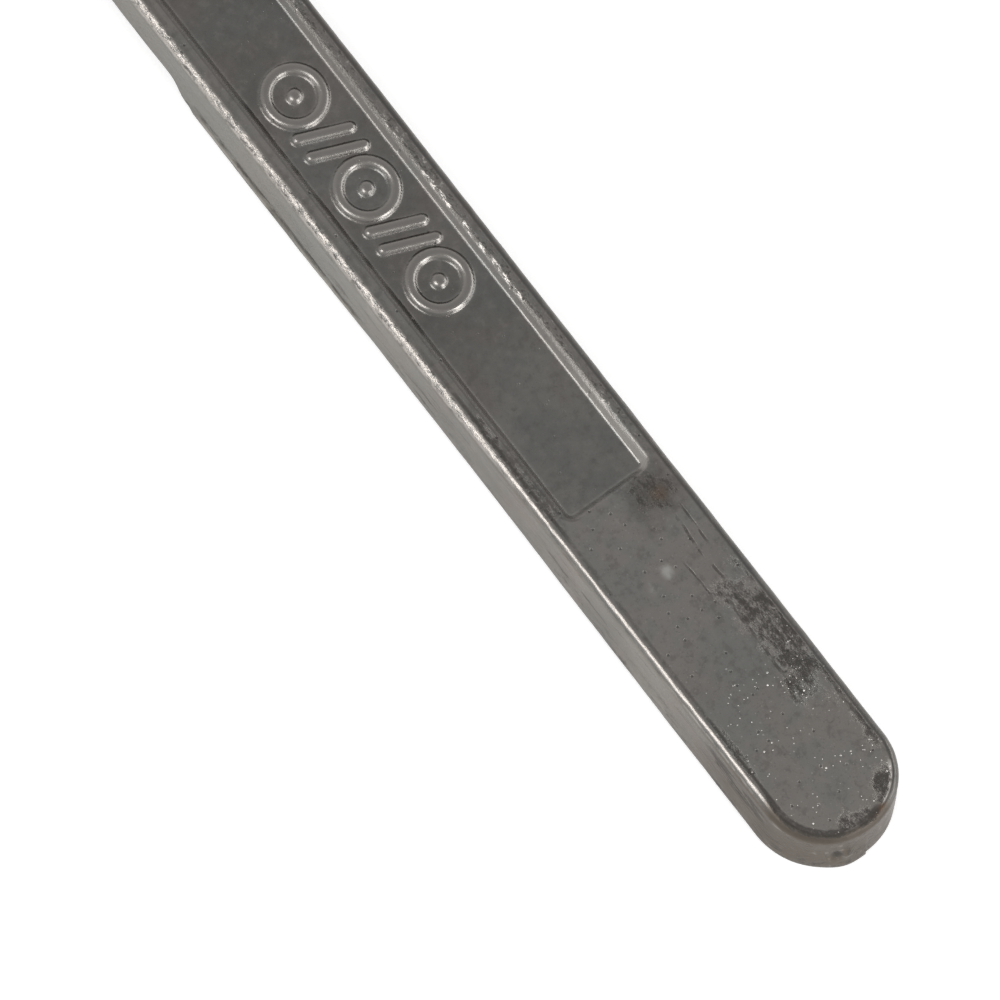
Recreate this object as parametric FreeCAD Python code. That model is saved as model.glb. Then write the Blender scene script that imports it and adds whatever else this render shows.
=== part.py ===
import FreeCAD, Part
import os
from math import cos, pi

# A cast bar of tin-lead solder, lying on the face it was poured from.
# Millimetres. +X runs along the bar, +Z up. The origin is under the middle of the bar, on the floor.

# Driving dimensions
length = 330.0
base_width = 20.0
height = 8.5
side_draft = 0.55  # how far each wall leans in between the base and the top
top_edge_radius = 1.2

# The sunk panel along the top face
panel_end_land = 55.4  # from the bar's end to the panel's mouth
panel_side_land = 3.08  # from the bar's side to the panel's mouth, where the panel is central
panel_offset = 0.22  # towards +Y
panel_depth = 1.0
panel_wall_run = 1.05  # how far its walls lean in between the mouth and the floor
panel_corner_radius = 1.6
panel_foot_radius = 0.3
panel_mouth_radius = 0.25

# The underside as the metal froze: flat at both ends, sunk a little between them, and thinner past a lap
foot_length = 20.0  # flat stretch that rests on the floor at each end
sag_run = 62.0  # the underside leaves the floor over this stretch next to the foot
sag_depth = 0.3
lap_depth = 1.9
lap_foot = 34.6  # the lap's step is between these two distances from the middle
lap_top = 30.6

# Derived sizes
half_length = length / 2
base_radius = base_width / 2
top_radius = base_radius - side_draft
end_centre = half_length - base_radius
foot_start = half_length - foot_length
sag_start = foot_start - sag_run
sunk_height = sag_depth + lap_depth
panel_length = length - 2 * panel_end_land
panel_width = base_width - 2 * panel_side_land
panel_floor_z = height - panel_depth
clear = 5.0  # how far cutting shapes run past the bar

# Points on each half wave of the underside
step_samples = 8


def vector(x, y, z):
    return FreeCAD.Vector(x, y, z)


def edges_at_height(shape, z, tolerance=1e-4):
    """Edges that lie whole in the level plane at z."""
    return [edge for edge in shape.Edges
            if abs(edge.BoundBox.ZMin - z) < tolerance and abs(edge.BoundBox.ZMax - z) < tolerance]


def cast_body():
    """A straight drafted stretch between two full-round drafted ends."""
    section = Part.makePolygon([
        vector(-end_centre, -base_radius, 0),
        vector(-end_centre, base_radius, 0),
        vector(-end_centre, top_radius, height),
        vector(-end_centre, -top_radius, height),
        vector(-end_centre, -base_radius, 0),
    ])
    body = Part.Face(section).extrude(vector(2 * end_centre, 0, 0))
    for side in (-1, 1):
        body = body.fuse(Part.makeCone(base_radius, top_radius, height, vector(side * end_centre, 0, 0)))
    body = body.removeSplitter()
    return body.makeFillet(top_edge_radius, edges_at_height(body, height))


def panel_cutter():
    """The metal missing from the panel, carried on above the top face at the same wall slope."""
    overshoot = 1.0
    mouth_grow = panel_wall_run / panel_depth * overshoot
    floor_x = panel_length / 2 - panel_wall_run
    floor_y = panel_width / 2 - panel_wall_run
    mouth_x = panel_length / 2 + mouth_grow
    mouth_y = panel_width / 2 + mouth_grow
    cutter = Part.makeWedge(-floor_x, 0, -floor_y, -mouth_y, -mouth_x,
                            floor_x, panel_depth + overshoot, floor_y, mouth_y, mouth_x)
    cutter.rotate(vector(0, 0, 0), vector(1, 0, 0), 90)
    cutter.translate(vector(0, panel_offset, panel_floor_z))
    corner_edges = [edge for edge in cutter.Edges if edge.BoundBox.ZLength > panel_depth]
    cutter = cutter.makeFillet(panel_corner_radius, corner_edges)
    return cutter.makeFillet(panel_foot_radius, edges_at_height(cutter, panel_floor_z))


def smooth_step(start, end):
    """Points of a half cosine wave between two (x, z) points, without the first one."""
    points = []
    for i in range(1, step_samples + 1):
        part = i / step_samples
        rise = (1 - cos(pi * part)) / 2
        points.append((start[0] + (end[0] - start[0]) * part, start[1] + (end[1] - start[1]) * rise))
    return points


def underside_edges():
    """The underside's curve from the -X foot to the +X foot, as one line or spline per stretch."""
    stretches = [
        [(-foot_start, 0)] + smooth_step((-foot_start, 0), (-sag_start, sag_depth)),
        [(-sag_start, sag_depth), (-lap_foot, sag_depth)],
        [(-lap_foot, sag_depth)] + smooth_step((-lap_foot, sag_depth), (-lap_top, sunk_height)),
    ]
    mirrored = [[(-x, z) for x, z in reversed(stretch)] for stretch in reversed(stretches)]
    level_middle = [[(-lap_top, sunk_height), (lap_top, sunk_height)]]
    edges = []
    for stretch in stretches + level_middle + mirrored:
        points = [vector(x, 0, z) for x, z in stretch]
        if len(points) == 2:
            edges.append(Part.makeLine(points[0], points[1]))
        else:
            spline = Part.BSplineCurve()
            along = vector(1, 0, 0)
            spline.interpolate(points, InitialTangent=along, FinalTangent=along)
            edges.append(spline.toShape())
    return edges


def underside_cutter():
    """The metal missing under the bar, between the two feet."""
    low = [
        Part.makeLine(vector(foot_start, 0, 0), vector(foot_start, 0, -clear)),
        Part.makeLine(vector(foot_start, 0, -clear), vector(-foot_start, 0, -clear)),
        Part.makeLine(vector(-foot_start, 0, -clear), vector(-foot_start, 0, 0)),
    ]
    profile = Part.Face(Part.Wire(underside_edges() + low))
    across = base_width + 2 * clear
    profile.translate(vector(0, -across / 2, 0))
    return profile.extrude(vector(0, across, 0))


def panel_mouth_edges(bar):
    """The edges where the panel's walls meet the top face."""
    half_x = panel_length / 2
    half_y = panel_width / 2
    mouth = FreeCAD.BoundBox(-half_x, panel_offset - half_y, height, half_x, panel_offset + half_y, height)
    mouth.enlarge(0.01)
    return [edge for edge in edges_at_height(bar, height) if mouth.isInside(edge.BoundBox)]


def solder_bar():
    bar = cast_body().cut(panel_cutter())
    bar = bar.makeFillet(panel_mouth_radius, panel_mouth_edges(bar))
    return bar.cut(underside_cutter())


os.makedirs("parts", exist_ok=True)
solder_bar().exportStep("parts/solder_bar.step")
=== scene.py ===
from math import atan2, ceil, cos, exp, hypot, log, pi, radians, sin, sqrt

import bmesh
import bpy
from mathutils import Matrix, Vector, noise


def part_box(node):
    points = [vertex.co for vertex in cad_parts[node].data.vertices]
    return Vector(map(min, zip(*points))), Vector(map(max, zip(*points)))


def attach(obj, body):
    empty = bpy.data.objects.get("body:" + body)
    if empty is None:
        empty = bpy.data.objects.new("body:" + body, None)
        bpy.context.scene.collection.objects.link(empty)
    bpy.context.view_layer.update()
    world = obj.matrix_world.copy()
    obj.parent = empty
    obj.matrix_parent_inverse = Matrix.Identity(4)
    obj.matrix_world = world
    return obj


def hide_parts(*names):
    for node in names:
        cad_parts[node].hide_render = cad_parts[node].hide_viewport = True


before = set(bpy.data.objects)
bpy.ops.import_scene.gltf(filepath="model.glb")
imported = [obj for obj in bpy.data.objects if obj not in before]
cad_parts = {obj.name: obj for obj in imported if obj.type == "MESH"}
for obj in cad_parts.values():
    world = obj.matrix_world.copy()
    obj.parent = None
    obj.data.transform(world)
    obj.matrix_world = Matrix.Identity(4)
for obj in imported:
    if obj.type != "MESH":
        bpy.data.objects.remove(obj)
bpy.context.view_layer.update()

MM = 0.001
low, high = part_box("solder_bar")

# Sizes of the casting in millimetres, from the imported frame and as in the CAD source
LENGTH = (high[0] - low[0]) / MM
BASE_RADIUS = (high[1] - low[1]) / MM / 2
HEIGHT = (high[2] - low[2]) / MM
SIDE_DRAFT = 0.55
EDGE_RADIUS = 1.2
PANEL_END_LAND = 55.4
PANEL_SIDE_LAND = 3.08
PANEL_OFFSET = 0.22
PANEL_DEPTH = 1.0
PANEL_WALL_RUN = 1.05
PANEL_CORNER_RADIUS = 1.6
FOOT_LENGTH = 20.0
SAG_RUN = 62.0
SAG_DEPTH = 0.3
LAP_DEPTH = 1.9
LAP_FOOT = 34.6
LAP_TOP = 30.6
BASE_EDGE_RADIUS = 0.35

# Past the panel's ends its offset from the middle line fades out of the mesh's rows
OFFSET_FADE_START = 3.0
OFFSET_FADE_RUN = 30.0

HALF_LENGTH = LENGTH / 2
END_CENTRE = HALF_LENGTH - BASE_RADIUS
WALL_LEAN = atan2(SIDE_DRAFT, HEIGHT)
EDGE_CENTRE_Z = HEIGHT - EDGE_RADIUS
EDGE_CENTRE_Y = BASE_RADIUS - SIDE_DRAFT * EDGE_CENTRE_Z / HEIGHT - EDGE_RADIUS / cos(WALL_LEAN)
PANEL_HALF_X = HALF_LENGTH - PANEL_END_LAND
PANEL_HALF_Y = BASE_RADIUS - PANEL_SIDE_LAND

# Cast relief in the panel, on the +X half only: round bosses in rings with slanted strokes between them
RELIEF_START = 38.6
RELIEF_END = 78.5
RELIEF_HEIGHT = 0.62
RELIEF_HALF_WIDTH = 0.92
RELIEF_REACH = 4.7
RELIEF_RINGS = 3
BOSS_RADIUS = 1.25
STROKE_SHIFT = 1.45
STROKE_LEAN = 1.3
STROKE_HALF_REACH = 3.3
RELIEF_SHOULDER = 0.3
RELIEF_SOFTNESS = 0.15

# Dents in the top face: x, y, reach and depth; a negative depth is a lump
DENTS = [(112.9, -1.7, 0.45, 0.14), (114.5, 3.6, 0.9, 0.10), (111.6, 6.0, 0.7, 0.10),
         (160.6, 5.2, 0.9, 0.12), (162.2, -0.9, 0.8, 0.12), (146.6, 3.9, 0.5, -0.07),
         (147.2, 0.1, 0.6, -0.07), (148.9, -4.9, 0.5, -0.06), (138.6, 0.8, 0.6, -0.05),
         (135.5, 6.6, 1.1, 0.09), (140.4, 6.9, 0.9, 0.10), (137.8, 3.7, 0.8, 0.08)]

# The skin's unevenness: height, size of its lumps and seed
TOP_SWELL = (0.03, 9, 1)
TOP_RIPPLE = (0.012, 2.2, 2)
SIDE_SWELL = (0.05, 7, 3)
SIDE_RIPPLE = (0.03, 2.5, 4)
EDGE_RIPPLE = (0.05, 1.6, 5)
RAGGED_COARSE = (0.09, 1.1, 6)
RAGGED_FINE = (0.05, 0.5, 7)
LIP_WANDER = (0.25, 8, 8)

# The near edge is ragged outside this y, less so past the first stretch of x, and not past the second
RAGGED_START_Y = -7.0
RAGGED_RUN_Y = 1.5
RAGGED_EASE_X, RAGGED_EASE_RUN, RAGGED_EASE_SHARE = 92.0, 18.0, 0.6
RAGGED_STOP_X, RAGGED_STOP_RUN = 148.0, 8.0

# The seam low on the side beyond the lap: a rolled lip below it and a groove over it, fading along the bar
LIP_TOP = 1.75
LIP_OUT = 0.22
LIP_SLOPE = 0.35
LIP_SOFTNESS = 0.2
LIP_START = 35.0
LIP_START_RUN = 1.5
LIP_FADE_START = 55.0
LIP_FADE_END = 78.0
GROOVE_DEPTH = 0.14
GROOVE_REACH = 0.3

# A nib of metal left on the round end: direction round the end, height, reach and how far it stands out,
# with a pit beside it and a wide bulge in the base below it
NIB_DIRECTION = radians(-19)
NIB_HEIGHT = 4.0
NIB_REACH = 0.8
NIB_OUT = 0.55
PIT_ASIDE = 1.4
PIT_DEPTH = 0.45
BULGE_REACH = 2.6
BULGE_OUT = 0.3
BULGE_TOP = 4.0
BULGE_RUN = 3.0

# The top of the round end was poured a little short of its mould, and the near side flares out low down
SHORT_POUR = 0.55
SHORT_POUR_SPREAD = radians(42)
SHORT_POUR_RUN = 4.0
FLARE = 0.12
FLARE_TOP = 6.0
FLARE_RUN = 5.0
END_FLARE = 0.16
END_FLARE_START = 90.0
END_FLARE_RUN = 50.0


def smooth(part):
    """Half a cosine wave from 0 to 1."""
    part = min(max(part, 0.0), 1.0)
    return (1 - cos(pi * part)) / 2


def ramp(value, softness=0.08):
    """0 below 0, 1 above 1, a straight slope between, with rounded corners."""
    def soft(v):
        return v if v > 30 * softness else softness * log(1 + exp(v / softness))
    return soft(value) - soft(value - 1)


def bell(distance, reach):
    """A round hump, 1 at no distance and fading past reach."""
    return exp(-(distance / reach) ** 2)


def wobble(x, y, z, size, seed):
    """Smooth noise from about -1 to 1, with lumps of the given size in millimetres."""
    return noise.noise(Vector((x / size + seed * 17.3, y / size - seed * 5.1, z / size + seed)))


def uneven(kind, x, y, z):
    """Millimetres of one kind of the skin's unevenness."""
    height, size, seed = kind
    return height * wobble(x, y, z, size, seed)


def under_height(x):
    """How far the underside is off the floor."""
    x = abs(x)
    foot_start = HALF_LENGTH - FOOT_LENGTH
    sag = SAG_DEPTH * smooth((foot_start - x) / SAG_RUN)
    lap = LAP_DEPTH * smooth((LAP_FOOT - x) / (LAP_FOOT - LAP_TOP))
    return sag + lap


# ---------------------------------------------------------------- the casting's mesh

FLOOR, WALL, LAND, EDGE, SIDE, BASE, UNDER = range(7)
ROWS_IN_ZONE = {FLOOR: 21, WALL: 8, LAND: 4, EDGE: 8, SIDE: 17, BASE: 3, UNDER: 4}

# Spacing of the cross-sections: (stretch's end, step) from the middle outwards, millimetres
COLUMN_STEPS_RELIEF_END = [(28, 1.2), (37, 0.5), (80, 0.27), (106.5, 0.4), (110.5, 0.16),
                           (END_CENTRE, 0.36)]
COLUMN_STEPS_PLAIN_END = [(28, 1.2), (37, 0.6), (106.5, 1.4), (110.5, 0.2), (END_CENTRE, 1.0)]
END_FAN_STEPS = 96


def half_rows():
    """Zone and place in it of each row, from beside the top's middle line to beside the underside's."""
    rows = []
    for zone, count in ROWS_IN_ZONE.items():
        for i in range(count):
            rows.append((zone, i / count))
    return rows[1:]


def columns():
    """The x of each cross-section of the straight stretch, from -X to +X."""
    def walk(steps):
        start, places = 0.0, []
        for end, step in steps:
            count = max(1, ceil((end - start) / step))
            places += [start + (end - start) * (i + 1) / count for i in range(count)]
            start = end
        return places
    minus = [-x for x in reversed(walk(COLUMN_STEPS_PLAIN_END))]
    return minus + [0.0] + walk(COLUMN_STEPS_RELIEF_END)


def section_point(zone, part, x, side):
    """Distance from the middle line, height, and outward direction (across, up) of one row."""
    past_fade_start = abs(x) - PANEL_HALF_X - OFFSET_FADE_START
    offset = side * PANEL_OFFSET * (1 - smooth(past_fade_start / OFFSET_FADE_RUN))
    mouth = PANEL_HALF_Y + offset
    foot = mouth - PANEL_WALL_RUN
    if zone == FLOOR:
        return foot * part, HEIGHT, (0, 1)
    if zone == WALL:
        return foot + (mouth - foot) * part, HEIGHT, (0, 1)
    if zone == LAND:
        return mouth + (EDGE_CENTRE_Y - mouth) * part, HEIGHT, (0, 1)
    if zone == EDGE:
        angle = pi / 2 - (pi / 2 - WALL_LEAN) * part
        outward = (cos(angle), sin(angle))
        return EDGE_CENTRE_Y + EDGE_RADIUS * outward[0], EDGE_CENTRE_Z + EDGE_RADIUS * outward[1], outward
    floor = under_height(x)
    side_top = EDGE_CENTRE_Z + EDGE_RADIUS * sin(WALL_LEAN)
    side_foot = floor + BASE_EDGE_RADIUS
    if zone == SIDE:
        z = side_top + (side_foot - side_top) * part
        return BASE_RADIUS - SIDE_DRAFT * z / HEIGHT, z, (1, 0)
    inner = BASE_RADIUS - SIDE_DRAFT * side_foot / HEIGHT - BASE_EDGE_RADIUS
    if zone == BASE:
        angle = -pi / 2 * part
        outward = (cos(angle), sin(angle))
        return inner + BASE_EDGE_RADIUS * outward[0], side_foot + BASE_EDGE_RADIUS * outward[1], outward
    return inner * (1 - part), floor, (0, -1)


def panel_depth_at(x, y):
    """How deep the panel is under the top face here."""
    qx = abs(x) - (PANEL_HALF_X - PANEL_CORNER_RADIUS)
    qy = abs(y - PANEL_OFFSET) - (PANEL_HALF_Y - PANEL_CORNER_RADIUS)
    outside = hypot(max(qx, 0), max(qy, 0)) + min(max(qx, qy), 0) - PANEL_CORNER_RADIUS
    if outside > 1:
        return 0.0
    return PANEL_DEPTH * ramp(-outside / PANEL_WALL_RUN)


def stroke_distance(x, y, start, end):
    """Distance to a straight stroke."""
    ax, ay = start
    dx, dy = end[0] - ax, end[1] - ay
    part = min(max(((x - ax) * dx + (y - ay) * dy) / (dx * dx + dy * dy), 0), 1)
    return hypot(x - ax - dx * part, y - ay - dy * part)


def relief_at(x, y):
    """Height of the cast relief over the panel's floor."""
    if x < RELIEF_START - 1 or x > RELIEF_END + 1:
        return 0.0
    radius = RELIEF_REACH - RELIEF_HALF_WIDTH
    pitch = (RELIEF_END - RELIEF_START - 2 * RELIEF_REACH) / (RELIEF_RINGS - 1)
    nearest = 1e9
    for i in range(RELIEF_RINGS):
        centre = RELIEF_START + RELIEF_REACH + pitch * i
        from_centre = hypot(x - centre, y)
        nearest = min(nearest, abs(from_centre - radius), from_centre * RELIEF_HALF_WIDTH / BOSS_RADIUS)
        if i < RELIEF_RINGS - 1:
            between = centre + pitch / 2
            for shift in (-STROKE_SHIFT, STROKE_SHIFT):
                low_tip = (between + shift - STROKE_LEAN, -STROKE_HALF_REACH)
                high_tip = (between + shift + STROKE_LEAN, STROKE_HALF_REACH)
                nearest = min(nearest, stroke_distance(x, y, low_tip, high_tip))
    part = nearest / RELIEF_HALF_WIDTH
    if part >= 1:
        return 0.0
    return RELIEF_HEIGHT * sqrt(1 - part * part) * ramp((1 - part) / RELIEF_SHOULDER, RELIEF_SOFTNESS)


def top_height(x, y):
    """Height of the top face over its plain level: the panel, its relief and the casting's uneven skin."""
    depth = panel_depth_at(x, y)
    height = -depth
    if depth > 0.5 * PANEL_DEPTH:
        height += relief_at(x, y)
    height += uneven(TOP_SWELL, x, y, 0) + uneven(TOP_RIPPLE, x, y, 0)
    for dent_x, dent_y, reach, deep in DENTS:
        if abs(x - dent_x) < 3 * reach:
            height -= deep * bell(hypot(x - dent_x, y - dent_y), reach)
    return height


def cast_point(zone, part, x, y, z, across, up, outward):
    """One vertex after the casting's unevenness; outward is the level direction away from the middle."""
    if zone in (FLOOR, WALL, LAND):
        return *short_poured(x, y, z), z + top_height(x, y)
    push = uneven(SIDE_SWELL, x, y, z) + uneven(SIDE_RIPPLE, x, y, z * 2)
    if zone == EDGE:
        push += sin(pi * part) * uneven(EDGE_RIPPLE, x, y, z)
        ragged = smooth((RAGGED_START_Y - y) / RAGGED_RUN_Y)
        ragged *= 1 - RAGGED_EASE_SHARE * smooth((x - RAGGED_EASE_X) / RAGGED_EASE_RUN)
        ragged *= 1 - smooth((x - RAGGED_STOP_X) / RAGGED_STOP_RUN)
        push += ragged * sin(pi * part) * (uneven(RAGGED_COARSE, x, y, z) + uneven(RAGGED_FINE, x, y, z))
    if zone == SIDE:
        push += side_marks(x, y, z)
    x, y = x + outward[0] * across * push, y + outward[1] * across * push
    return *short_poured(x, y, z), max(z + up * push, 0.0)


def short_poured(x, y, z):
    """The plan place after the round end's short pour, which tells most at the top."""
    if x <= END_CENTRE:
        return x, y
    turn = atan2(y, x - END_CENTRE)
    share = bell(turn, SHORT_POUR_SPREAD) * smooth(z / HEIGHT) * smooth((x - END_CENTRE) / SHORT_POUR_RUN)
    factor = 1 - SHORT_POUR / BASE_RADIUS * share
    return END_CENTRE + (x - END_CENTRE) * factor, y * factor


def side_marks(x, y, z):
    """The rolled lip beyond the lap, the flare and the nib on the round end, as distance outwards."""
    beyond = abs(x)
    along = smooth((beyond - LIP_START) / LIP_START_RUN)
    along *= 1 - smooth((beyond - LIP_FADE_START) / (LIP_FADE_END - LIP_FADE_START))
    top = LIP_TOP + uneven(LIP_WANDER, x, 0, 0)
    lip = LIP_OUT * ramp((top - z) / LIP_SLOPE, LIP_SOFTNESS)
    groove = GROOVE_DEPTH * bell(z - top - LIP_SLOPE, GROOVE_REACH)
    out = along * (lip - groove)
    if y < 0:
        flare = FLARE + END_FLARE * smooth((x - END_FLARE_START) / END_FLARE_RUN)
        out += flare * smooth((FLARE_TOP - z) / FLARE_RUN)
    if x > END_CENTRE:
        sideways = (atan2(y, x - END_CENTRE) - NIB_DIRECTION) * BASE_RADIUS
        out += NIB_OUT * bell(hypot(sideways, z - NIB_HEIGHT), NIB_REACH)
        out -= PIT_DEPTH * bell(hypot(sideways + PIT_ASIDE, z - NIB_HEIGHT), NIB_REACH)
        out += BULGE_OUT * bell(sideways, BULGE_REACH) * smooth((BULGE_TOP - z) / BULGE_RUN)
    return out


def casting_mesh():
    """A closed mesh: cross-sections along the straight stretch, and a fan of halves round each end."""
    rows = half_rows()
    vertices, faces = [], []
    marks = {"zone": [], "sunk": [], "relief": []}

    def add(zone, part, x, side, theta=None):
        across_distance, z, (across, up) = section_point(zone, part, x, side)
        if theta is None:
            px, py, outward = x, side * across_distance, (0, side)
        else:
            end = 1 if x > 0 else -1
            outward = (end * cos(theta), sin(theta))
            px, py = x + outward[0] * across_distance, outward[1] * across_distance
        vertices.append(cast_point(zone, part, px, py, z, across, up, outward))
        on_top = zone <= LAND
        marks["zone"].append(zone + part)
        marks["sunk"].append(panel_depth_at(px, py) / PANEL_DEPTH if on_top else 0.0)
        marks["relief"].append(relief_at(px, py) / RELIEF_HEIGHT if on_top else 0.0)
        return len(vertices) - 1

    loops = []
    for x in columns():
        top = add(FLOOR, 0, x, 1)
        plus = [add(zone, part, x, 1) for zone, part in rows]
        bottom = add(UNDER, 1, x, 1)
        minus = [add(zone, part, x, -1) for zone, part in rows]
        loops.append((top, plus, bottom, minus))
    for (top_a, plus_a, bottom_a, minus_a), (top_b, plus_b, bottom_b, minus_b) in zip(loops, loops[1:]):
        ring_a = [top_a] + plus_a + [bottom_a] + minus_a[::-1]
        ring_b = [top_b] + plus_b + [bottom_b] + minus_b[::-1]
        count = len(ring_a)
        for i in range(count):
            j = (i + 1) % count
            faces.append((ring_a[i], ring_b[i], ring_b[j], ring_a[j]))
    for end, (top, plus, bottom, minus) in ((-1, loops[0]), (1, loops[-1])):
        ribs = [plus]
        for step in range(1, END_FAN_STEPS):
            theta = pi / 2 - pi * step / END_FAN_STEPS
            ribs.append([add(zone, part, end * END_CENTRE, 1, theta) for zone, part in rows])
        ribs.append(minus)
        for rib_a, rib_b in zip(ribs, ribs[1:]):
            fan = [(top, rib_b[0], rib_a[0]), (bottom, rib_a[-1], rib_b[-1])]
            fan += [(rib_a[i], rib_b[i], rib_b[i + 1], rib_a[i + 1]) for i in range(len(rows) - 1)]
            faces += fan if end < 0 else [face[::-1] for face in fan]
    mesh = bpy.data.meshes.new("solder_casting")
    mesh.from_pydata([(x * MM, y * MM, z * MM) for x, y, z in vertices], [], faces)
    solid = bmesh.new()
    solid.from_mesh(mesh)
    bmesh.ops.recalc_face_normals(solid, faces=solid.faces)
    solid.to_mesh(mesh)
    solid.free()
    mesh.shade_smooth()
    return mesh, marks


def solder_casting(material):
    mesh, marks = casting_mesh()
    for name, values in marks.items():
        mesh.attributes.new(name, "FLOAT", "POINT").data.foreach_set("value", values)
    mesh.materials.append(material)
    piece = bpy.data.objects.new("solder_casting", mesh)
    bpy.context.collection.objects.link(piece)
    return piece


# ---------------------------------------------------------------- materials

PATCH_SHIFT_X = 14.0
PATCH_SHIFT_Y = 7.0


class Graph:
    """Short calls for the shader nodes used here; sizes and places are in millimetres on the object."""

    def __init__(self, name):
        self.material = bpy.data.materials.new(name)
        self.material.use_nodes = True
        self.nodes, self.links = self.material.node_tree.nodes, self.material.node_tree.links
        self.shader = self.nodes["Principled BSDF"]
        place = self.nodes.new("ShaderNodeTexCoord").outputs["Object"]
        self.place = self.stretch(place, (1 / MM, 1 / MM, 1 / MM))
        split = self.nodes.new("ShaderNodeSeparateXYZ")
        self.links.new(self.place, split.inputs[0])
        self.x, self.y, self.z = split.outputs
        # The plan place shifted about by noise, for patches with uneven outlines
        shift_x = self.maths("SUBTRACT", self.noise(5, 4, 0.6, shift=30), 0.5)
        shift_y = self.maths("SUBTRACT", self.noise(3, 4, 0.6, shift=31), 0.5)
        self.patch_x = self.maths("ADD", self.x, self.times(shift_x, PATCH_SHIFT_X))
        self.patch_y = self.maths("ADD", self.y, self.times(shift_y, PATCH_SHIFT_Y))

    def put(self, socket, value):
        """Links a node's output, or sets a plain value."""
        if isinstance(value, bpy.types.NodeSocket):
            self.links.new(value, socket)
        else:
            socket.default_value = value

    def stretch(self, place, factors):
        node = self.nodes.new("ShaderNodeVectorMath")
        node.operation = "MULTIPLY"
        self.put(node.inputs[0], place)
        node.inputs[1].default_value = factors
        return node.outputs[0]

    def maths(self, operation, a, b=0.0):
        node = self.nodes.new("ShaderNodeMath")
        node.operation = operation
        self.put(node.inputs[0], a)
        self.put(node.inputs[1], b)
        return node.outputs[0]

    def times(self, *factors):
        product = factors[0]
        for factor in factors[1:]:
            product = self.maths("MULTIPLY", product, factor)
        return product

    def most(self, *values):
        highest = values[0]
        for value in values[1:]:
            highest = self.maths("MAXIMUM", highest, value)
        return highest

    def rise(self, value, start, end):
        """0 before start, 1 after end, smooth between; start above end makes a fall."""
        if start > end:
            return self.maths("SUBTRACT", 1.0, self.rise(value, end, start))
        node = self.nodes.new("ShaderNodeMapRange")
        node.interpolation_type = "SMOOTHSTEP"
        self.put(node.inputs["Value"], value)
        node.inputs["From Min"].default_value = start
        node.inputs["From Max"].default_value = end
        return node.outputs["Result"]

    def span(self, value, start, full, fading, end):
        """1 from full to fading, and 0 before start and after end."""
        return self.times(self.rise(value, start, full), self.rise(value, end, fading))

    def noise(self, size, detail=3.0, roughness=0.55, factors=(1, 1, 1), shift=0.0):
        node = self.nodes.new("ShaderNodeTexNoise")
        node.noise_dimensions = "4D"
        node.inputs["W"].default_value = shift
        node.inputs["Scale"].default_value = 1 / size
        node.inputs["Detail"].default_value = detail
        node.inputs["Roughness"].default_value = roughness
        self.put(node.inputs["Vector"], self.stretch(self.place, factors))
        return node.outputs["Fac"]

    def specks(self, size, radius, share, shift=0.0):
        """Round dots on the plan, of the given radius, in a share of the cells of the given size."""
        node = self.nodes.new("ShaderNodeTexVoronoi")
        node.voronoi_dimensions = "2D"
        node.inputs["Scale"].default_value = 1 / size
        moved = self.nodes.new("ShaderNodeVectorMath")
        self.put(moved.inputs[0], self.place)
        moved.inputs[1].default_value = (shift, -shift, 0)
        self.put(node.inputs["Vector"], moved.outputs[0])
        chance = self.nodes.new("ShaderNodeSeparateColor")
        self.links.new(node.outputs["Color"], chance.inputs[0])
        near = self.rise(node.outputs["Distance"], radius / size, 0.4 * radius / size)
        return self.times(near, self.rise(chance.outputs[0], 1 - share, 1 - share + 0.02))

    def spot(self, x, y, radius, soft=0.5):
        """An uneven round patch on the plan."""
        node = self.nodes.new("ShaderNodeCombineXYZ")
        ragged_x = self.blend_value(min(0.25 * radius, 1.0), self.x, self.patch_x)
        ragged_y = self.blend_value(min(0.25 * radius, 1.0), self.y, self.patch_y)
        self.put(node.inputs[0], self.maths("SUBTRACT", ragged_x, x))
        self.put(node.inputs[1], self.maths("SUBTRACT", ragged_y, y))
        length = self.nodes.new("ShaderNodeVectorMath")
        length.operation = "LENGTH"
        self.links.new(node.outputs[0], length.inputs[0])
        return self.rise(length.outputs["Value"], radius * (1 + soft), radius * (1 - soft))

    def ball(self, centre, radius):
        """A soft round patch anywhere on the surface."""
        node = self.nodes.new("ShaderNodeVectorMath")
        node.operation = "DISTANCE"
        self.put(node.inputs[0], self.place)
        node.inputs[1].default_value = centre
        return self.rise(node.outputs["Value"], radius * 1.3, radius * 0.5)

    def streak(self, start, end, y, half_width, seed=0.0):
        """A wavering broken line along X."""
        sway = 0.6
        waver = self.maths("MULTIPLY_ADD", self.noise(6, 2, 0.5, factors=(1, 0, 0), shift=seed), 2 * sway)
        waver.node.inputs[2].default_value = -sway - y
        off = self.maths("ABSOLUTE", self.maths("ADD", self.y, waver))
        broken = self.rise(self.noise(1.1, 3, 0.6, factors=(0.5, 1, 1), shift=seed + 0.5), 0.40, 0.55)
        soft = 0.2 * (end - start)
        along = self.span(self.x, start, start + soft, end - soft, end)
        return self.times(self.rise(off, half_width, 0.4 * half_width), along, broken)

    def mix(self, factor, a, b):
        node = self.nodes.new("ShaderNodeMix")
        node.data_type = "RGBA"
        self.put(node.inputs["Factor"], factor)
        self.put(node.inputs["A"], a)
        self.put(node.inputs["B"], b)
        return node.outputs["Result"]

    def blend_value(self, factor, a, b):
        node = self.nodes.new("ShaderNodeMix")
        node.data_type = "FLOAT"
        self.put(node.inputs["Factor"], factor)
        self.put(node.inputs["A"], a)
        self.put(node.inputs["B"], b)
        return node.outputs["Result"]

    def mark(self, name):
        node = self.nodes.new("ShaderNodeAttribute")
        node.attribute_name = name
        return node.outputs["Fac"]

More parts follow.
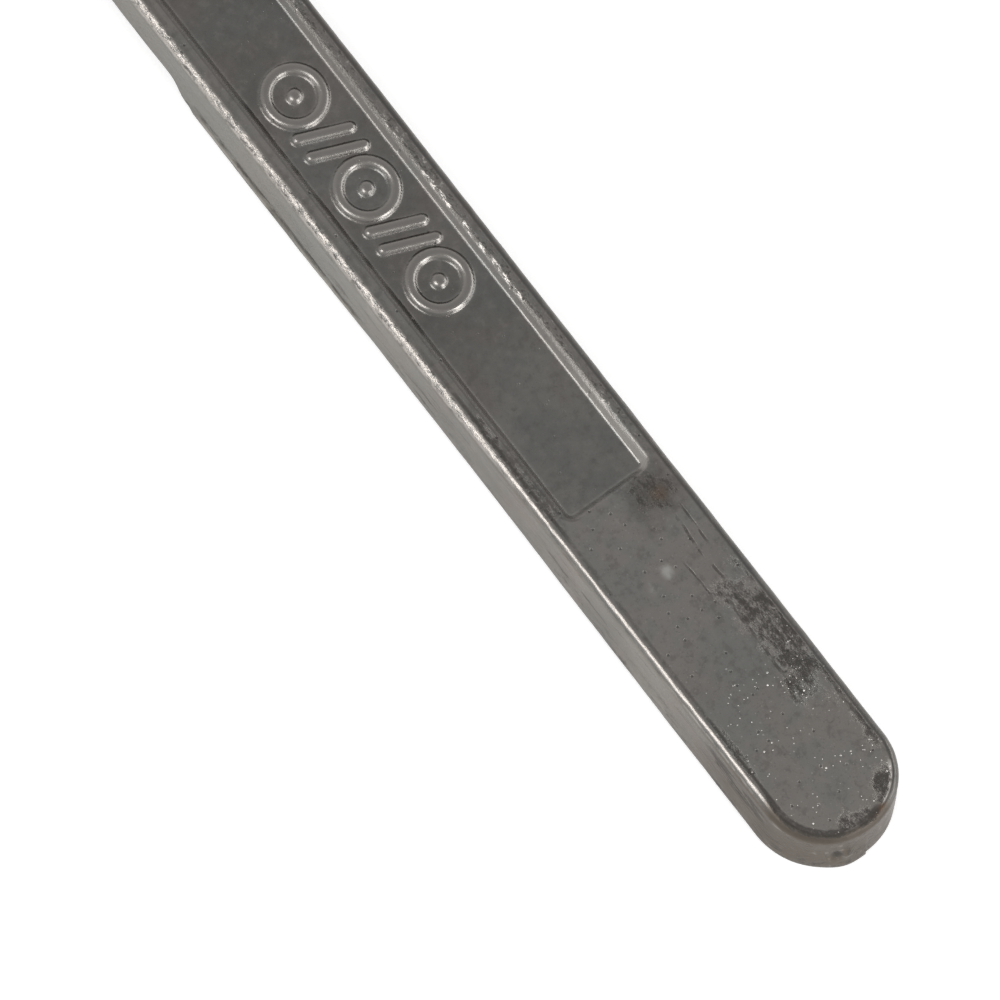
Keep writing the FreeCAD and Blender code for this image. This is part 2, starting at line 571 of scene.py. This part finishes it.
    def bump(self, height, depth, normal=None):
        """Bump of the given depth in millimetres, over an earlier one where there is one."""
        node = self.nodes.new("ShaderNodeBump")
        node.inputs["Strength"].default_value = 1.0
        node.inputs["Distance"].default_value = depth * MM
        self.put(node.inputs["Height"], height)
        if normal:
            self.put(node.inputs["Normal"], normal)
        return node.outputs["Normal"]


METAL_WARMTH = 0.042


def grey(level, warm=0.0, green=0.0):
    """An opaque near-grey: warm lifts red over blue, green lifts green."""
    warm += METAL_WARMTH
    return (level * (1 + warm), level * (1 + green), level * (1 - warm), 1)


# Tones of the oxide skin in the panel and on the land round it, and painted light and shade on the walls
# between them: a painted highlight on the far wall, painted sheen on the near wall and painted shade at the
# mouths
FLOOR_DARK, FLOOR_LIGHT, FLOOR_END = grey(0.158, 0.0, 0.02), grey(0.190, 0.02, 0.0), grey(0.225, 0.01, 0.01)
LAND_DARK, LAND_LIGHT, LAND_END = grey(0.214, 0.01, 0.015), grey(0.240, 0.02, 0.0), grey(0.258, 0.03, 0.0)
FLOOR_GREEN, LAND_GREEN = grey(0.175, -0.03, 0.03), grey(0.220, -0.03, 0.035)
FLOOR_MAUVE, LAND_MAUVE = grey(0.185, 0.035, -0.015), grey(0.240, 0.045, -0.02)
MOTTLE_DARK, MOTTLE_LIGHT, GRAIN_DARK = grey(0.14, 0.02), grey(0.26, 0.02), grey(0.11, 0.02)
FAR_WALL_HIGHLIGHT, NEAR_WALL_SHEEN = grey(0.33, 0.02), grey(0.25, 0.02)
NEAR_MOUTH_SHADE, FAR_MOUTH_SHADE = grey(0.12, 0.02), grey(0.105, 0.02)
RELIEF_WORN = grey(0.29, 0.02)

# Tones of the side and the underside, with painted shade for the far side and a painted highlight for the lip
# low on the near side
SIDE_DARK, SIDE_LIGHT = grey(0.165, 0.03, 0.02), grey(0.205, 0.05, 0.01)
SIDE_BROWN, SIDE_PLAIN_END = grey(0.185, 0.10, -0.03), grey(0.200, 0.02, 0.03)
SIDE_ROUND_END = grey(0.115, 0.11)
STREAK_DARK, STREAK_LIGHT = grey(0.075, 0.05), grey(0.30, 0.05)
SCUFF, SIDE_FOOT = grey(0.065, 0.05), grey(0.08, 0.05)
FAR_SIDE_SHADE, LIP_HIGHLIGHT = grey(0.12, 0.03), grey(0.36, 0.04)
UNDER_DARK, UNDER_LIGHT = grey(0.14), grey(0.24, 0.03)

# Tones of the rounded edge, painted highlights in bands and a hook and painted shade round the tip and on the
# far edge, then the dirt and the small marks
EDGE_HIGHLIGHT_WIDE, EDGE_HIGHLIGHT_THIN, HOOK_HIGHLIGHT = grey(0.40, 0.03), grey(0.31, 0.03), grey(0.60, 0.02)
TIP_EDGE_SHADE, FAR_EDGE_SHADE = grey(0.105, 0.11), grey(0.085, 0.02)
RUST, STAIN = (0.14, 0.085, 0.055, 1), (0.135, 0.098, 0.07, 1)
GRIME, PIT, SMUDGE, GLINT = grey(0.066, 0.04), grey(0.07), grey(0.46, 0.0, 0.02), grey(0.98)
CRUST_BASE, CRUST_DARK, CRUST_LIGHT = grey(0.12, 0.02), grey(0.09, 0.03), grey(0.55, 0.02)
FLECK_HIGHLIGHT = grey(0.6, 0.02)

# Stretches along X in millimetres: start, full strength, last of full strength, end
SEAM_X = (36, 39, 62, 80)
SECOND_LINE_X = (133, 139, 150, 154)
LINE_GAP_X = (108, 113, 138, 142)
NEAR_PATCHES_X = ((88, 92, 106, 110), (141, 144, 149, 152))
NEAR_DARK_X = (95, 98, 107, 110)
FAR_PATCH_X = (124, 130, 142, 149)
FAR_RIM_X = (128, 134, 154, 160)
SIDE_DIRT_X = (140, 145, 153, 157)
FLECK_HIGHLIGHTS_X = (60, 63, 80, 84)

# The same across Y or up Z
RUST_Y = (0.2, 1.4, 2.8, 4.0)
LIP_HIGHLIGHT_Z = (0.7, 1.0, 1.4, 1.7)
SEAM_Z = (1.55, 1.85, 2.1, 2.4)
SIDE_DIRT_Z = (3.8, 4.8, 6.4, 7.2)

# Scratched lines on the land: start, end, y, half width and seed
SCRATCHES = [(115.0, 128.5, 5.1, 0.32, 1.0), (114.5, 122.5, 6.6, 0.28, 2.0), (121.5, 130.0, 2.3, 0.25, 3.0),
             (127.0, 144.0, 3.8, 0.35, 4.0), (144.0, 158.0, 7.9, 0.40, 5.0)]

# Round patches on the plan: x, y and radius, then softness where it isn't the usual one
TIP_PATCH = (160.8, 5.0, 2.6)
CENTRE_PATCHES = ((161.8, -2.1, 1.7), (162.2, 0.5, 1.5))
CORNER_PATCH = (112.4, 4.6, 3.5, 0.35)
CORNER_SHADE = (112.2, 4.7, 3.6)
CORNER_STAIN = (112.8, 5.3, 1.1, 0.7)
SMUDGES = ((121.9, -0.2, 0.7, 0.8), (122.6, -3.0, 0.6, 0.9))
PIT_CENTRE = (163.8, -4.4, 4.0)
PIT_RADIUS = 0.8

# Dots on the plan: cell size, radius, share of the cells and seed
PIT_DOTS = (2.1, 0.24, 0.22, 1.5)
GLINT_DOTS = ((0.75, 0.09, 0.45, 4.2), (1.6, 0.16, 0.30, 8.7))

# Depths of the bump in millimetres
GRAIN_DEPTH = 0.022
RIPPLE_DEPTH = 0.09
HOLLOW_DEPTH = 0.10
WORN_DEPTH = 0.14


class SolderLook(Graph):
    """The casting's surface: its regions and noises, then a method for each layer of colour over the last.

    Levels in rise and span without a unit are thresholds on noise or on the mesh's marks, from 0 to 1.
    """

    def __init__(self):
        super().__init__("cast_solder")
        self.zone, self.sunk, self.relief = self.mark("zone"), self.mark("sunk"), self.mark("relief")
        self.find_regions()
        self.fine = self.noise(0.30, 4, 0.7, shift=20)
        self.medium = self.noise(1.3, 4, 0.65, shift=21)
        self.clouds = self.noise(14, 4, 0.5)
        self.tints = self.noise(6, 3, 0.55, shift=3)
        self.streaks = self.noise(1.0, 4, 0.65, factors=(0.10, 1, 1), shift=1)
        self.scuffs = self.noise(0.8, 4, 0.65, factors=(0.3, 1, 1), shift=2)
        self.edge_noise = self.noise(0.55, 4, 0.7, factors=(0.45, 1, 1), shift=5)
        self.crust = self.noise(0.55, 4, 0.75, factors=(0.5, 1, 1), shift=16)
        self.colour = None
        self.top_skin()
        self.side_skin()
        self.painted_edge_highlight()
        self.tip_and_far_edge()
        self.grime_and_patches()
        self.stain_and_smudge()
        self.crust_and_mouth_light()
        self.pits_and_glints()
        self.underside()
        self.put(self.shader.inputs["Base Color"], self.colour)
        self.put(self.shader.inputs["Roughness"], self.roughness())
        self.shader.inputs["Metallic"].default_value = 1.0
        self.put(self.shader.inputs["Normal"], self.relief_of_skin())

    def find_regions(self):
        zone, sunk = self.zone, self.sunk
        self.near = self.rise(self.y, -5.5, -8.0)
        self.on_edge = self.rise(zone, EDGE - 0.05, EDGE + 0.15)
        self.on_side = self.rise(zone, SIDE - 0.45, SIDE - 0.15)
        self.under = self.rise(zone, UNDER - 0.3, UNDER)
        self.on_top = self.rise(zone, EDGE + 0.2, EDGE - 0.1)
        self.on_land = self.times(self.rise(sunk, 0.5, 0.1), self.on_top)
        self.on_wall = self.span(sunk, 0.08, 0.25, 0.75, 0.95)
        self.far_mouth = self.times(self.span(sunk, 0.0, 0.02, 0.2, 0.4), self.rise(self.y, 5, 6))
        self.crust_zone = self.times(self.on_land, self.rise(self.y, 6.3, 7.2), self.rise(self.x, 108, 100))
        # The band of painted highlight on the near edge, and of its bump, is wide away from the round end and
        # thin towards it
        self.thin = self.rise(self.x, 85, 112)
        thin_inner, thin_outer = self.times(self.thin, 0.06), self.times(self.thin, 0.30)
        self.inner = self.rise(self.maths("SUBTRACT", zone, thin_inner), EDGE - 0.06, EDGE + 0.12)
        self.outer = self.rise(self.maths("ADD", zone, thin_outer), EDGE + 0.90, EDGE + 0.56)

    def lay(self, tone, strength, *masks):
        """One tone over the colour so far, at a strength from 0 to 1 where all the masks are 1."""
        self.colour = self.mix(self.times(*masks, strength) if masks else strength, self.colour, tone)

    def top_skin(self):
        """Dull grey oxide, clouded, with faint green and mauve and a fine mottle; painted light on the panel's
        walls and painted shade at its near mouth.
        """
        clouds, land = self.clouds, self.on_land
        floor_tone = self.mix(self.rise(clouds, 0.35, 0.65), FLOOR_DARK, FLOOR_LIGHT)
        floor_tone = self.mix(self.times(self.rise(self.x, 74, 92), 0.8), floor_tone, FLOOR_END)
        land_tone = self.mix(self.rise(clouds, 0.38, 0.62), LAND_DARK, LAND_LIGHT)
        land_tone = self.mix(self.times(self.rise(self.x, 138, 150), 0.7), land_tone, LAND_END)
        self.colour = self.mix(land, floor_tone, land_tone)
        self.lay(self.mix(land, FLOOR_GREEN, LAND_GREEN), 0.55, self.rise(self.tints, 0.50, 0.60))
        self.lay(self.mix(land, FLOOR_MAUVE, LAND_MAUVE), 0.55, self.rise(self.tints, 0.48, 0.38))
        self.lay(MOTTLE_DARK, 0.45, self.rise(self.medium, 0.50, 0.66))
        self.lay(MOTTLE_LIGHT, 0.35, self.rise(self.medium, 0.48, 0.34))
        self.lay(GRAIN_DARK, 0.45, self.rise(self.fine, 0.56, 0.70))
        # Painted light on the panel's walls: a painted highlight on the far wall, stronger towards the round
        # end, and a paler painted sheen on the near wall
        to_round_end = self.blend_value(self.rise(self.x, 88, 104), 0.35, 1.0)
        self.lay(FAR_WALL_HIGHLIGHT, to_round_end, self.on_wall, self.rise(self.y, 4, 6))
        self.lay(NEAR_WALL_SHEEN, 0.7, self.on_wall, self.rise(self.y, -4, -6))
        # Painted shade along the panel's near mouth
        self.lay(NEAR_MOUTH_SHADE, 0.6, self.span(self.sunk, 0.0, 0.02, 0.10, 0.25), self.rise(self.y, -4, -6))
        self.lay(RELIEF_WORN, 0.7, self.rise(self.relief, 0.3, 0.8))

    def side_skin(self):
        """Cleaner and warmer metal with long drawn streaks, scuffs low down, duller round the end; painted
        shade on the far side and a painted highlight along the near lip.
        """
        skin = self.colour
        busy = self.rise(self.noise(16, 2, 0.5, factors=(1, 0, 0), shift=14), 0.42, 0.58)
        busy = self.times(self.blend_value(busy, 0.2, 1.0), self.rise(self.x, 44, 60))
        self.colour = self.mix(self.rise(self.clouds, 0.3, 0.7), SIDE_DARK, SIDE_LIGHT)
        self.lay(SIDE_BROWN, 0.5, self.rise(self.tints, 0.50, 0.40))
        self.lay(SIDE_PLAIN_END, 0.7, self.rise(self.x, 95, 60))
        self.lay(SIDE_ROUND_END, self.rise(self.x, 138, 150))
        self.lay(STREAK_DARK, 0.75, self.rise(self.streaks, 0.54, 0.66), busy)
        self.lay(STREAK_LIGHT, 0.5, self.rise(self.streaks, 0.42, 0.32), busy)
        self.lay(SCUFF, 0.8, self.rise(self.scuffs, 0.53, 0.62), self.rise(self.z, 4.5, 1.2))
        self.lay(SIDE_FOOT, 0.7, self.rise(self.z, 0.7, 0.1))
        # Painted shade on the far side
        self.lay(FAR_SIDE_SHADE, 0.6, self.rise(self.y, 5, 8), self.rise(self.x, 160, 150))
        self.colour = self.mix(self.on_side, skin, self.colour)
        # Painted highlight along the lip low on the near side
        self.lay(LIP_HIGHLIGHT, 0.6, self.near, self.span(self.z, *LIP_HIGHLIGHT_Z), self.span(self.x, *SEAM_X),
                 self.rise(self.streaks, 0.56, 0.46))

    def painted_edge_highlight(self):
        """Painted highlight on the near rounded edge, which is also smoother there, wide and ragged away from
        the end, and a thin second line.
        """
        ragged = self.rise(self.maths("ADD", self.edge_noise, self.times(self.thin, 0.10)), 0.40, 0.52)
        wide = self.times(self.inner, self.outer, ragged, self.near, self.rise(self.x, 155, 150))
        second_line = self.times(self.span(self.zone, EDGE + 0.52, EDGE + 0.58, EDGE + 0.66, EDGE + 0.72),
                                 self.near, self.span(self.x, *SECOND_LINE_X),
                                 self.rise(self.edge_noise, 0.38, 0.50))
        self.edge_highlight = self.most(wide, self.times(second_line, 0.7))
        # Painted highlight laid into the colour of the near edge
        self.lay(self.mix(self.thin, EDGE_HIGHLIGHT_WIDE, EDGE_HIGHLIGHT_THIN), self.edge_highlight)

    def tip_and_far_edge(self):
        """Painted shade on the edge round the tip, dull brown and rougher, and on the far edge, with a painted
        highlight in a hook near the tip.
        """
        # Painted shade on the edge round the tip, which is also made rougher
        self.dull_shaded_tip = self.times(self.on_edge, self.rise(self.x, 152, 155.5), self.rise(self.y, 5.5, 3.2))
        self.lay(TIP_EDGE_SHADE, self.rise(self.zone, SIDE, SIDE - 0.3), self.dull_shaded_tip)
        # Painted shade on the far edge
        far_edge = self.times(self.on_edge, self.rise(self.zone, SIDE + 0.1, SIDE - 0.1))
        self.lay(FAR_EDGE_SHADE, 0.7, far_edge, self.rise(self.y, 3, 7))
        # A painted highlight in a hook on the edge near the tip, also smoother
        self.hook = self.times(self.span(self.zone, EDGE - 0.25, EDGE - 0.12, EDGE + 0.04, EDGE + 0.16),
                               self.rise(self.x, 157.6, 159.0), self.rise(self.y, 2.8, 4.0),
                               self.rise(self.noise(0.7, 3, shift=15), 0.30, 0.45))
        self.lay(HOOK_HIGHLIGHT, self.hook)
        self.lay(RUST, 0.7, self.span(self.zone, LAND + 0.7, EDGE, EDGE + 0.2, EDGE + 0.35),
                 self.rise(self.x, 161, 162), self.span(self.y, *RUST_Y))

    def rim_line(self):
        """A broken line of grime just inside the near edge and round the tip."""
        at_tip = self.times(self.rise(self.x, 150, 158), self.rise(self.y, 3.5, 2.0))
        ragged_zone = self.maths("SUBTRACT", self.zone, self.times(at_tip, self.edge_noise, 0.8))
        rim = self.times(self.rise(self.zone, LAND + 0.42, LAND + 0.72),
                         self.rise(ragged_zone, EDGE + 0.02, EDGE - 0.16))
        strength = self.times(self.blend_value(self.rise(self.x, 80, 92), 0.3, 1.0),
                              self.blend_value(self.span(self.x, *LINE_GAP_X), 1.0, 0.6))
        return self.times(rim, self.most(self.times(self.near, strength), at_tip),
                          self.rise(self.noise(2.5, 4, 0.6, shift=6), 0.34, 0.50))

    def dark_patches(self):
        """Dark rough patches on the land: far and near edges, the tip and the panel's corner."""
        far_patch = self.times(self.rise(self.patch_y, 2.0, 4.0), self.span(self.patch_x, *FAR_PATCH_X))
        far_rim = self.times(self.rise(self.patch_y, 5.8, 8.2), self.span(self.patch_x, *FAR_RIM_X))
        near_stretches = self.most(*(self.span(self.x, *stretch) for stretch in NEAR_PATCHES_X))
        near_patch = self.times(self.rise(self.zone, LAND + 0.05, LAND + 0.3), self.near, near_stretches)
        round_patches = [self.spot(*patch) for patch in (TIP_PATCH, *CENTRE_PATCHES, CORNER_PATCH)]
        places = self.times(self.on_top, self.most(far_patch, far_rim, *round_patches, near_patch))
        rough_noise = self.noise(0.9, 6, 0.85, factors=(0.5, 1, 1), shift=7)
        patches = self.rise(self.maths("ADD", rough_noise, self.times(places, 0.20)), 0.56, 0.75)
        return self.times(patches, places, 0.9)

    def side_grime(self):
        """Dirt high on the near side by the round end, the pit beside the nib, and the seam low down."""
        drawn = self.noise(1.3, 4, 0.65, factors=(0.25, 1, 1), shift=18)
        dirt = self.times(self.span(self.x, *SIDE_DIRT_X), self.near, self.span(self.z, *SIDE_DIRT_Z),
                          self.rise(drawn, 0.46, 0.56), 0.7)
        pit = self.times(self.ball(PIT_CENTRE, PIT_RADIUS), 0.9)
        seam = self.times(self.near, self.span(self.z, *SEAM_Z), self.span(self.x, *SEAM_X),
                          self.rise(self.scuffs, 0.42, 0.52), 0.6)
        return self.most(dirt, pit, seam)

    def grime_and_patches(self):
        corner = self.times(self.spot(*CORNER_SHADE), self.on_top, self.rise(self.sunk, 0.2, 0.0),
                            self.blend_value(self.fine, 0.4, 1.0), 0.85)
        near_dark = self.times(self.near, self.on_land, self.span(self.x, *NEAR_DARK_X),
                               self.rise(self.medium, 0.40, 0.52), 0.65)
        lines = self.most(*(self.streak(*scratch) for scratch in SCRATCHES))
        scratches = self.times(lines, self.on_top, 0.7)
        self.grime = self.most(self.times(self.rim_line(), 0.85), corner, near_dark, self.dark_patches(),
                               scratches, self.side_grime())
        self.lay(GRIME, self.grime)

    def stain_and_smudge(self):
        self.lay(STAIN, 0.55, self.spot(*CORNER_STAIN), self.on_top)
        strong, faint = (self.spot(*smudge) for smudge in SMUDGES)
        patchy = self.blend_value(self.rise(self.medium, 0.40, 0.60), 0.85, 0.25)
        self.lay(SMUDGE, self.on_top, self.most(strong, self.times(faint, 0.4)), patchy)

    def crust_and_mouth_light(self):
        """Crusty specks on the far land beside the panel, painted shade on the panel's far mouth away from the
        round end, and bright flecks there that are painted highlights.
        """
        self.lay(CRUST_BASE, 0.3, self.crust_zone)
        self.lay(CRUST_DARK, 0.8, self.crust_zone, self.rise(self.crust, 0.54, 0.62))
        # Painted shade along the panel's far mouth, away from the round end
        self.lay(FAR_MOUTH_SHADE, 0.65, self.far_mouth, self.rise(self.x, 100, 84))
        # Bright flecks along the far mouth are painted highlights, raised a little in the bump
        self.fleck_highlights = self.times(self.far_mouth, self.rise(self.crust, 0.50, 0.42),
                                 self.span(self.x, *FLECK_HIGHLIGHTS_X))
        self.lay(FLECK_HIGHLIGHT, self.fleck_highlights)
        self.lay(CRUST_LIGHT, 0.7, self.crust_zone, self.rise(self.crust, 0.44, 0.37),
                 self.rise(self.noise(9, 2, shift=17), 0.48, 0.58))

    def pits_and_glints(self):
        self.pits = self.times(self.specks(*PIT_DOTS), self.on_top,
                               self.blend_value(self.on_land, 0.3, 1.0))
        self.lay(PIT, 0.7, self.pits)
        area = self.times(self.rise(self.patch_x, 133, 142),
                          self.rise(self.noise(3.0, 3, 0.6, shift=9), 0.50, 0.60))
        dots = self.most(*(self.specks(*kind) for kind in GLINT_DOTS))
        self.glints = self.times(dots, self.blend_value(area, 0.06, 1.0), self.on_land)
        self.lay(GLINT, self.glints)

    def underside(self):
        self.lay(self.mix(self.rise(self.streaks, 0.35, 0.65), UNDER_DARK, UNDER_LIGHT), self.under)

    def roughness(self):
        panel_rough = self.blend_value(self.rise(self.clouds, 0.3, 0.7), 0.24, 0.31)
        rough = self.blend_value(self.on_land, panel_rough, 0.38)
        rough = self.blend_value(self.on_side, rough, 0.42)
        rough = self.blend_value(self.most(self.grime, self.pits), rough, 0.60)
        rough = self.blend_value(self.most(self.under, self.dull_shaded_tip), rough, 0.52)
        return self.blend_value(self.most(self.edge_highlight, self.hook), rough, 0.33)

    def relief_of_skin(self):
        """Bump under the mesh's own scale: grain, ripples, hollows of pits and dirt, and the worn edge."""
        grain = self.bump(self.maths("ADD", self.fine, self.times(self.medium, 0.8)), GRAIN_DEPTH)
        off_side = self.blend_value(self.on_side, 0.45, 1.0)
        ripples = self.bump(self.times(self.noise(1.8, 3, 0.55, shift=12), off_side), RIPPLE_DEPTH, grain)
        hollows = self.most(self.pits, self.times(self.grime, self.noise(0.45, 3, shift=13)),
                            self.times(self.on_side, self.rise(self.streaks, 0.5, 0.7), 0.5),
                            self.times(self.crust_zone, self.crust), self.times(self.fleck_highlights, -0.5))
        height = self.maths("SUBTRACT", self.times(self.glints, 0.4), hollows)
        dented = self.bump(height, HOLLOW_DEPTH, ripples)
        ease = self.blend_value(self.thin, 1.0, 0.3)
        worn = self.times(self.near, self.inner, self.outer, self.edge_noise, ease)
        return self.bump(worn, WORN_DEPTH, dented)


FLOOR_SHADE = (0.9, 0.9, 0.9, 1)
FLOOR_ROUGHNESS = 0.9
FLOOR_LIFT = 0.42


def floor_material():
    """A pale floor, lifted towards white for the camera and in reflections, that keeps its shadow."""
    material = bpy.data.materials.new("pale_floor")
    material.use_nodes = True
    nodes, links = material.node_tree.nodes, material.node_tree.links
    shader = nodes["Principled BSDF"]
    shader.inputs["Base Color"].default_value = FLOOR_SHADE
    shader.inputs["Roughness"].default_value = FLOOR_ROUGHNESS
    path = nodes.new("ShaderNodeLightPath")
    seen = nodes.new("ShaderNodeMath")
    seen.operation = "MAXIMUM"
    links.new(path.outputs["Is Camera Ray"], seen.inputs[0])
    links.new(path.outputs["Is Glossy Ray"], seen.inputs[1])
    glow = nodes.new("ShaderNodeEmission")
    glow.inputs["Color"].default_value = (1, 1, 1, 1)
    lift = nodes.new("ShaderNodeMath")
    lift.operation = "MULTIPLY"
    lift.inputs[1].default_value = FLOOR_LIFT
    links.new(seen.outputs[0], lift.inputs[0])
    links.new(lift.outputs[0], glow.inputs["Strength"])
    both = nodes.new("ShaderNodeAddShader")
    links.new(shader.outputs[0], both.inputs[0])
    links.new(glow.outputs[0], both.inputs[1])
    links.new(both.outputs[0], nodes["Material Output"].inputs["Surface"])
    return material


# ---------------------------------------------------------------- stage, light and camera

FLOOR_SIZE = 6.0
FLOOR_GAP = 0.2 * MM

# Strength of the white world at the horizon and overhead
SKY_LOW, SKY_HIGH = 0.85, 0.5

# Soft lamps: name, place in metres, size in metres and power in watts, all aimed at one point on the bar
LAMP_AIM = (0.09, 0, 0)
LAMPS = [("key_softbox", (0.05, -0.55, 0.80), (0.5, 0.45), 3.2),
         ("low_fill", (0.45, 0.75, 0.30), (0.8, 0.3), 1.5),
         ("end_fill", (1.0, 0.25, 0.55), (0.4, 0.4), 3.0)]


def pale_floor():
    bpy.ops.mesh.primitive_plane_add(size=FLOOR_SIZE, location=(0, 0, -FLOOR_GAP))
    floor = bpy.context.object
    floor.name = "studio_floor"
    floor.data.materials.append(floor_material())


def studio_world():
    world = bpy.data.worlds.new("studio")
    bpy.context.scene.world = world
    world.use_nodes = True
    nodes, links = world.node_tree.nodes, world.node_tree.links
    background = nodes["Background"]
    background.inputs["Color"].default_value = (1, 1, 1, 1)
    split = nodes.new("ShaderNodeSeparateXYZ")
    links.new(nodes.new("ShaderNodeTexCoord").outputs["Generated"], split.inputs[0])
    dimming = nodes.new("ShaderNodeMapRange")
    dimming.inputs["To Min"].default_value = SKY_LOW
    dimming.inputs["To Max"].default_value = SKY_HIGH
    links.new(split.outputs["Z"], dimming.inputs["Value"])
    links.new(dimming.outputs["Result"], background.inputs["Strength"])


def area_light(name, place, size, power):
    data = bpy.data.lights.new(name, "AREA")
    data.shape = "RECTANGLE"
    data.size, data.size_y = size
    data.energy = power
    lamp = bpy.data.objects.new(name, data)
    lamp.location = place
    lamp.rotation_euler = (Vector(LAMP_AIM) - Vector(place)).to_track_quat("-Z", "Y").to_euler()
    bpy.context.collection.objects.link(lamp)


# The camera: direction from the object and roll in degrees, distance and aim in metres
VIEW_ELEVATION = 71.567
VIEW_AZIMUTH = 60.571
VIEW_ROLL = 23.816
VIEW_DISTANCE = 3.0
VIEW_AIM = (100.992 * MM, -10.565 * MM, 4.0 * MM)
SENSOR_WIDTH = 36.0
IMAGE_SIZE = 1000
PIXELS_PER_MM = 7.815


def camera():
    data = bpy.data.cameras.new("camera")
    data.sensor_width = SENSOR_WIDTH
    data.lens = SENSOR_WIDTH * PIXELS_PER_MM * (VIEW_DISTANCE / MM) / IMAGE_SIZE
    data.clip_start = 0.01
    data.clip_end = 100
    elevation, azimuth = radians(VIEW_ELEVATION), radians(VIEW_AZIMUTH)
    away = Vector((cos(azimuth) * cos(elevation), -sin(azimuth) * cos(elevation), sin(elevation)))
    viewer = bpy.data.objects.new("camera", data)
    turn = away.to_track_quat("Z", "Y").to_matrix().to_4x4() @ Matrix.Rotation(radians(VIEW_ROLL), 4, "Z")
    viewer.matrix_world = Matrix.Translation(Vector(VIEW_AIM) + away * VIEW_DISTANCE) @ turn
    bpy.context.collection.objects.link(viewer)
    bpy.context.scene.camera = viewer


casting = solder_casting(SolderLook().material)
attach(casting, "root")
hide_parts("solder_bar")

pale_floor()
studio_world()
for lamp in LAMPS:
    area_light(*lamp)
camera()
bpy.context.scene.view_settings.view_transform = "Standard"
